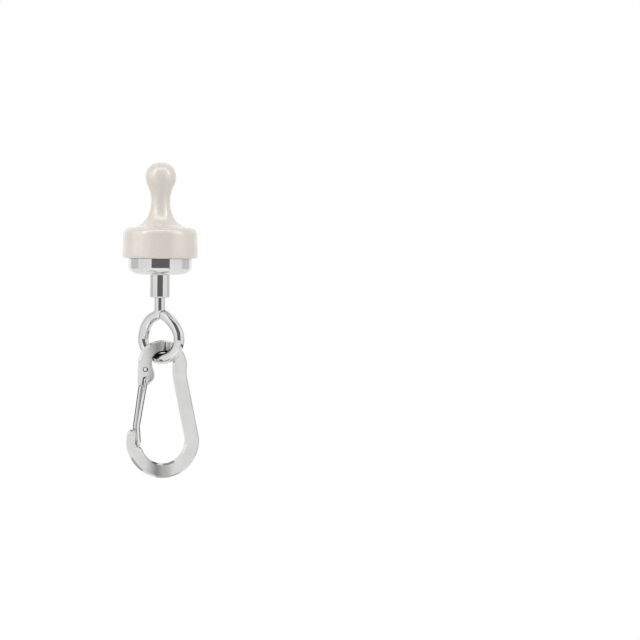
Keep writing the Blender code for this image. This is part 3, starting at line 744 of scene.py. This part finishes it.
def eye_route():
    """Centre line of the eye's wire in its own plane, from inside the sleeve to the cut end."""
    heights = (SHANK_ENGAGEMENT, SHANK_ENGAGEMENT / 2, 0.0, -SHANK_LENGTH)
    shank = [(0.0, height) for height in heights]
    bend = arc((-BEND_RADIUS, -SHANK_LENGTH), BEND_RADIUS, 0.0, -BEND_ANGLE)
    low = arc((LOOP_OFFSET, LOOP_MIDDLE_Z), LOOP_HALF_WIDTH, math.radians(180), math.radians(360),
              LOOP_HALF_DROP)
    flank_in = smooth_through([bend[-1], *loop_flank(LOOP_LEFT_SHARES), low[0]], FLANK_STEPS)
    flank_out = smooth_through([low[-1], *loop_flank(LOOP_RIGHT_SHARES)], FLANK_STEPS)
    route = shank + bend[1:] + flank_in[1:-1] + low + flank_out[1:]
    return [(x, 0.0, z) for x, z in route]


def build_eye(materials):
    turn = make_empty("eye_turn_axis", (0.0, 0.0, SLEEVE_BOTTOM), EYE_TURN)
    mesh = wire_mesh("eye_bolt", eye_route(), WIRE_RADIUS, WIRE_SIDES_HALF, SHANK_BEVEL)
    finish_object("fine_eye_bolt", mesh, materials["wire"], turn)
    return turn


def oval_angle(half_width, height, lean):
    """Angle at which an oval's side leans by the given angle from upright."""
    return math.atan(math.tan(lean) * height / half_width)


def plate_outline():
    """Carabiner frame in its own plane, clockwise from the foot of the lug's left side."""
    corner_x = CROWN_X + (CROWN_RADIUS - CORNER_RADIUS) * math.cos(CORNER_ANGLE)
    corner_z = CROWN_Z + (CROWN_RADIUS - CORNER_RADIUS) * math.sin(CORNER_ANGLE)
    crown = (arc((corner_x, corner_z), CORNER_RADIUS, math.radians(180), CORNER_ANGLE)
             + arc((CROWN_X, CROWN_Z), CROWN_RADIUS, CORNER_ANGLE, 0.0)[1:])

    arm_lean = math.atan2(BOW_X + BOW_HALF_WIDTH - WAIST_X, (WAIST_Z - BOW_Z) * ARM_RUN_SHARE)
    arm_angle = oval_angle(BOW_HALF_WIDTH, BOW_SHOULDER, arm_lean)
    bow_side = arc((BOW_X, BOW_Z), BOW_HALF_WIDTH, arm_angle, 0.0, BOW_SHOULDER)
    bow = (arc((BOW_X, BOW_Z), BOW_HALF_WIDTH, 0.0, math.radians(-90), BOW_DROP, BOW_RIGHT_FULLNESS)
           + arc((BOW_X, BOW_Z), BOW_HALF_WIDTH, math.radians(-90), math.radians(-180), BOW_DROP,
                 BOW_LEFT_FULLNESS)[1:])
    arm_top_z = WAIST_Z - CROWN_RADIUS * ARM_TOP_SHARE
    arm_top = (bow_side[0][0] - (arm_top_z - bow_side[0][1]) * math.tan(arm_lean), arm_top_z)
    waist = smooth_through([crown[-1], (WAIST_X, WAIST_Z), arm_top], FLANK_STEPS)

    nose_corner = (NOSE_OUTER_X, NOSE_TOP_Z)
    nose_inner = (NOSE_INNER_X, NOSE_TOP_Z)
    seat_corner = (NOSE_INNER_X, SEAT_Z)
    nose = (fillet(bow[-1], nose_corner, nose_inner, NOSE_OUTER_ROUND)
            + fillet(nose_corner, nose_inner, seat_corner, NOSE_INNER_ROUND))

    lip_angle = -math.pi + math.asin((BOW_Z - SEAT_Z) / HOLLOW_DROP)
    seat_lip = (BOW_X + HOLLOW_HALF_WIDTH * math.cos(lip_angle), SEAT_Z)
    lip_end = lip_angle + SEAT_LIP_ROUND / HOLLOW_HALF_WIDTH
    hollow_angle = oval_angle(HOLLOW_HALF_WIDTH, HOLLOW_DROP, arm_lean)
    hollow = arc((BOW_X, BOW_Z), HOLLOW_HALF_WIDTH, lip_end, hollow_angle, HOLLOW_DROP)
    seat = (fillet(nose_inner, seat_corner, seat_lip, SEAT_ROUND)
            + fillet(seat_corner, seat_lip, hollow[0], SEAT_LIP_ROUND))

    arch_foot = (ARCH_PEAK_X, ARCH_Z)
    arch = (arc(arch_foot, ARCH_RIGHT_WIDTH, 0.0, math.radians(90), ARCH_HEIGHT,
                ARCH_RIGHT_FULLNESS)
            + arc(arch_foot, ARCH_LEFT_WIDTH, math.radians(90), math.radians(180), ARCH_HEIGHT,
                  ARCH_LEFT_FULLNESS)[1:])
    climb = (hollow[-1][0] - arch[0][0]) / math.tan(arm_lean)
    arm_corner = (arch[0][0], hollow[-1][1] + climb)
    arm_blend = fillet(hollow[-1], arm_corner, arch[0], ARM_BLEND_RADIUS)

    lug_width = LUG_RIGHT_X - LUG_LEFT_X
    lug_height = ARCH_Z - LUG_BOTTOM_Z
    bulge = [(LUG_LEFT_X + lug_width * across, ARCH_Z - lug_height * down)
             for across, down in LUG_BULGE_SHARES]
    lug_side = smooth_through([arch[-1], *bulge], LUG_STEPS)
    lug_floor = (bulge[-1][0] - LUG_CORNER_ROUND, LUG_BOTTOM_Z)
    lug_corner = (LUG_LEFT_X, LUG_BOTTOM_Z)
    lug_foot = (fillet(bulge[-1], lug_floor, lug_corner, LUG_CORNER_ROUND)
                + fillet(lug_floor, lug_corner, crown[0], LUG_CORNER_ROUND))

    return (crown + waist[1:] + bow_side + bow[1:] + nose + seat + hollow[1:]
            + arm_blend + arch + lug_side[1:] + lug_foot)


def slot_outline():
    """Curved slot round the gate's pivot, for the lower foot of the gate's wire."""
    half = GATE_WIRE_RADIUS + WIRE_GAP
    start = math.radians(-90)
    end = start + GATE_OPENING
    outer = arc((0.0, 0.0), GATE_FOOT_SPACING + half, start, end)
    inner = arc((0.0, 0.0), GATE_FOOT_SPACING - half, end, start)
    first_tip, last_tip = ((GATE_FOOT_SPACING * math.cos(angle),
                            GATE_FOOT_SPACING * math.sin(angle)) for angle in (start, end))
    return (outer[1:-1] + arc(last_tip, half, end, end + math.pi) + inner[1:-1]
            + arc(first_tip, half, start + math.pi, start + math.tau))


def foot_cutter(name, outline, depth, parent):
    """Cutter from the plate's front, placed at the gate's pivot."""
    front = -PLATE_THICKNESS / 2
    shape = bmesh.new()
    add_layers(shape, [(front - CUT_OVERRUN, outline), (front + depth, outline)])
    return add_object(name, solid_mesh(shape, name), parent, (GATE_PIVOT_X, 0.0, GATE_PIVOT_Z))


def build_carabiner(materials, eye):
    swing = make_empty("carabiner_swing_axis", (LOOP_OFFSET, 0.0, LOOP_BOTTOM_Z), PLATE_TURN, eye)
    mesh = plate_mesh("carabiner_frame", plate_outline())
    plate = finish_object("fine_carabiner_frame", mesh, materials["plate"], swing,
                          (0.0, -PLATE_FORWARD, 0.0))
    plate.rotation_euler.y = PLATE_HANG
    hole = arc((0.0, 0.0), GATE_WIRE_RADIUS + WIRE_GAP, 0.0, math.tau)[:-1]
    cutters = (
        foot_cutter("upper_hole", hole, PLATE_THICKNESS + CUT_OVERRUN, plate),
        foot_cutter("lower_slot", slot_outline(), GATE_POCKET_DEPTH, plate),
    )
    for cutter in cutters:
        cut = plate.modifiers.new(cutter.name, "BOOLEAN")
        cut.operation = "DIFFERENCE"
        cut.solver = "EXACT"
        cut.object = cutter
    return plate


def rounded_route(corners, radius):
    """Straight runs between corners of a three dimensional route, joined by arcs."""
    route = [Vector(corners[0])]
    for before, corner, after in zip(corners, corners[1:], corners[2:]):
        middle = Vector(corner)
        inward = (Vector(before) - middle).normalized()
        outward = (Vector(after) - middle).normalized()
        half_angle = inward.angle(outward) / 2
        sweep = math.pi - 2 * half_angle
        centre = middle + (inward + outward).normalized() * (radius / math.sin(half_angle))
        first = middle + inward * (radius / math.tan(half_angle)) - centre
        count = max(2, math.ceil(sweep / ROUND_STEP))
        for step in range(count + 1):
            angle = sweep * step / count
            route.append(centre + first * math.cos(angle) - inward * radius * math.sin(angle))
    route.append(Vector(corners[-1]))
    return route


def build_gate(materials, plate):
    pivot = make_empty("gate_axis", (GATE_PIVOT_X, 0.0, GATE_PIVOT_Z), parent=plate)
    face = -PLATE_THICKNESS / 2
    stand_off = PLATE_THICKNESS / 2 + WIRE_GAP + GATE_WIRE_RADIUS
    knee_x, knee_z = GATE_KNEE_X - GATE_PIVOT_X, GATE_KNEE_Z - GATE_PIVOT_Z
    tip_x, tip_z = GATE_TIP_X - GATE_PIVOT_X, GATE_TIP_Z - GATE_PIVOT_Z
    corners = [
        (0.0, face + GATE_POCKET_DEPTH - WIRE_GAP, -GATE_FOOT_SPACING),
        (0.0, -stand_off, -GATE_FOOT_SPACING),
        (knee_x, -stand_off, knee_z),
        (tip_x, -stand_off, tip_z),
        (tip_x, stand_off, tip_z),
        (knee_x - GATE_LEG_SPREAD, stand_off, knee_z),
        (0.0, stand_off, 0.0),
        (0.0, face + WIRE_GAP, 0.0),
    ]
    mesh = wire_mesh("gate_wire", rounded_route(corners, GATE_BEND_RADIUS), GATE_WIRE_RADIUS,
                     GATE_SIDES_HALF, WIRE_GAP)
    finish_object("fine_gate_wire", mesh, materials["gate"], pivot)


def bare_material(name):
    """New material without nodes, and its node tree."""
    material = bpy.data.materials.new(name)
    material.use_nodes = True
    material.node_tree.nodes.clear()
    return material, material.node_tree


def compute(tree, operation, *values):
    """Math node on other nodes' outputs and plain numbers."""
    node = add_node(tree, "ShaderNodeMath", dict(enumerate(values)), operation=operation)
    return node.outputs[0]


def mix_shaders(tree, factor, first, second):
    mix = add_node(tree, "ShaderNodeMixShader", {"Fac": factor, 1: first, 2: second})
    return mix.outputs["Shader"]


def seen_by_eye_or_mirror(tree):
    """One for camera, glossy and transmission rays, and zero for all others."""
    rays = add_node(tree, "ShaderNodeLightPath").outputs
    seen = compute(tree, "MAXIMUM", rays["Is Camera Ray"], rays["Is Glossy Ray"])
    return compute(tree, "MAXIMUM", seen, rays["Is Transmission Ray"])


def emission_by_azimuth(name, stops):
    """Emission whose grey follows the angle from the front."""
    material, tree = bare_material(name)
    coordinates = add_node(tree, "ShaderNodeTexCoord")
    place = add_node(tree, "ShaderNodeSeparateXYZ", {"Vector": coordinates.outputs["Object"]})
    forward = compute(tree, "MULTIPLY", place.outputs["Y"], -1.0)
    sideways = compute(tree, "ABSOLUTE", place.outputs["X"])
    share = compute(tree, "DIVIDE", compute(tree, "ARCTAN2", sideways, forward), math.pi)
    ramp = add_node(tree, "ShaderNodeValToRGB", {"Fac": share})
    elements = ramp.color_ramp.elements
    for position, _ in stops[2:]:
        elements.new(position)
    for element, (position, grey) in zip(elements, stops):
        element.position = position
        element.color = (grey, grey, grey, 1.0)
    glow = add_node(tree, "ShaderNodeEmission", {"Color": ramp.outputs["Color"]})
    add_node(tree, "ShaderNodeOutputMaterial", {"Surface": glow.outputs["Emission"]})
    return material


def show_to_reflections_only(item):
    item.visible_camera = False
    item.visible_diffuse = False
    item.visible_shadow = False


def build_card(name, start, end, low_radius, bottom, high_radius, top, strength):
    """Card curved round the hook's axis, of one plain grey or white."""
    material, tree = bare_material(name)
    glow = add_node(tree, "ShaderNodeEmission", {"Strength": strength})
    add_node(tree, "ShaderNodeOutputMaterial", {"Surface": glow.outputs["Emission"]})
    first, sweep = math.radians(start), math.radians(end - start)
    count = max(2, math.ceil(sweep / CARD_STEP))
    places = []
    for step in range(count + 1):
        azimuth = first + sweep * step / count
        across, back = math.sin(azimuth), -math.cos(azimuth)
        places += [(across * low_radius, back * low_radius, bottom),
                   (across * high_radius, back * high_radius, top)]
    faces = [(2 * step, 2 * step + 2, 2 * step + 3, 2 * step + 1) for step in range(count)]
    mesh = bpy.data.meshes.new(name)
    mesh.from_pydata(places, [], faces)
    mesh.materials.append(material)
    card = add_object(name, mesh)
    show_to_reflections_only(card)


def build_ring():
    """Studio walls round the object, which only reflections see."""
    shape = bmesh.new()
    places = circle(RING_RADIUS, RING_STEPS)
    low, high = ([shape.verts.new((x, y, height)) for x, y in places]
                 for height in (RING_BOTTOM, RING_TOP))
    add_walls(shape, low, high)
    mesh = mesh_from(shape, "studio_walls")
    mesh.materials.append(emission_by_azimuth("studio_wall_greys", RING_GREYS))
    ring = add_object("studio_walls", mesh)
    ring.rotation_euler.z = RING_TURN
    show_to_reflections_only(ring)


def build_floor(level):
    """White paper that keeps the object's shadow and can't be seen from below."""
    material, tree = bare_material("studio_floor")
    white = (FLOOR_WHITE, FLOOR_WHITE, FLOOR_WHITE, 1.0)
    paper = add_node(tree, "ShaderNodeBsdfDiffuse", {"Color": white})
    glow = add_node(tree, "ShaderNodeEmission", {"Strength": FLOOR_GLOW})
    share = compute(tree, "MULTIPLY", seen_by_eye_or_mirror(tree), FLOOR_GLOW_SHARE)
    front = mix_shaders(tree, share, paper.outputs["BSDF"], glow.outputs["Emission"])
    below = add_node(tree, "ShaderNodeNewGeometry")
    clear = add_node(tree, "ShaderNodeBsdfTransparent")
    sided = mix_shaders(tree, below.outputs["Backfacing"], front, clear.outputs["BSDF"])
    add_node(tree, "ShaderNodeOutputMaterial", {"Surface": sided})
    shape = bmesh.new()
    bmesh.ops.create_grid(shape, x_segments=2, y_segments=2, size=FLOOR_HALF_SIDE)
    mesh = mesh_from(shape, "floor")
    mesh.materials.append(material)
    floor = add_object("floor", mesh, place=(0.0, 0.0, level))
    floor.visible_glossy = False


def build_world():
    """White wherever it is seen, and a little weaker as light on the object."""
    world = bpy.data.worlds.new("studio")
    bpy.context.scene.world = world
    world.use_nodes = True
    tree = world.node_tree
    tree.nodes.clear()
    glow = add_node(tree, "ShaderNodeBackground", {
        "Color": (1.0, 1.0, 1.0, 1.0),
        "Strength": between(tree, seen_by_eye_or_mirror(tree), WORLD_STRENGTH, 1.0, 0.0, 1.0),
    })
    add_node(tree, "ShaderNodeOutputWorld", {"Surface": glow.outputs["Background"]})


def build_lamp(name, azimuth, lift, width, height, power, highlight_only, lit):
    """Soft rectangular lamp that lights the pieces of one collection."""
    azimuth, lift = math.radians(azimuth), math.radians(lift)
    data = bpy.data.lights.new(name, "AREA")
    data.shape = "RECTANGLE"
    data.size = width
    data.size_y = height
    data.energy = power
    level = math.cos(lift)
    away = Vector((math.sin(azimuth) * level, -math.cos(azimuth) * level, math.sin(lift)))
    lamp = add_object(name, data, place=away * LAMP_DISTANCE)
    lamp.rotation_mode = "QUATERNION"
    lamp.rotation_quaternion = (-away).to_track_quat("-Z", "Y")
    lamp.visible_diffuse = not highlight_only
    lamp.light_linking.receiver_collection = lit


def build_camera():
    """Camera of the photograph, lifted and rolled a little, with the hook left of its middle."""
    half = PICTURE_PIXELS / 2
    away = Vector((0.0, math.cos(CAMERA_LIFT), -math.sin(CAMERA_LIFT)))
    level = Vector((1.0, 0.0, 0.0))
    upright = level.cross(away)
    right = level * math.cos(CAMERA_ROLL) + upright * math.sin(CAMERA_ROLL)
    up = right.cross(away)
    target = Vector((0.0, 0.0, (AXIS_ROW - AIM_ROW) * METRES_PER_PIXEL))
    target += (right * (half - AXIS_COLUMN) * METRES_PER_PIXEL
               - up * (half - AIM_ROW) * METRES_PER_PIXEL)
    data = bpy.data.cameras.new("camera")
    data.sensor_width = SENSOR_WIDTH
    data.lens = SENSOR_WIDTH * CAMERA_DISTANCE / (PICTURE_PIXELS * METRES_PER_PIXEL)
    data.clip_start = CAMERA_DISTANCE * CLIP_SHARE
    camera = add_object("camera", data)
    turn = Matrix((right, up, -away)).transposed().to_4x4()
    camera.matrix_world = Matrix.Translation(target - away * CAMERA_DISTANCE) @ turn
    bpy.context.scene.camera = camera


def keep_flat_faces_flat(item):
    """Weights the shading by face area, so a flat face next to a round stays flat."""
    weigh = item.modifiers.new("weighted_normals", "WEIGHTED_NORMAL")
    weigh.keep_sharp = True


def world_mesh(name):
    """Mesh of a finished piece, in the row frame and with its cuts made."""
    bpy.context.view_layer.update()
    item = bpy.data.objects[name]
    mesh = evaluated_mesh(item)
    mesh.transform(item.matrix_world)
    return mesh


def stand_in(name, mesh, node, body):
    """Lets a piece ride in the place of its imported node."""
    piece = add_object(name, mesh)
    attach(piece, body)
    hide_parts(node)


def main():
    materials = make_materials()
    build_pot(materials)
    build_knob(materials)
    eye = build_eye(materials)
    carabiner = build_carabiner(materials, eye)
    build_gate(materials, carabiner)
    keep_flat_faces_flat(carabiner)
    meshes = {row[0]: world_mesh(row[0]) for row in STAND_INS}
    for name in (*meshes, *GUIDES):
        bpy.data.objects.remove(bpy.data.objects[name], do_unlink=True)
    for name, node, body, slot in STAND_INS:
        stand_in(name, meshes[name], node, body)
    build_world()
    build_ring()
    for card in CARDS:
        build_card(*card)
    build_floor(cad_box[0].z - FLOOR_DROP)
    plastics = bpy.data.collections.new("plastics")
    plastics.objects.link(bpy.data.objects["fine_knob_shell"])
    for lamp in LAMPS:
        build_lamp(*lamp, plastics)
    build_camera()
    bpy.context.scene.view_settings.view_transform = "Standard"


main()
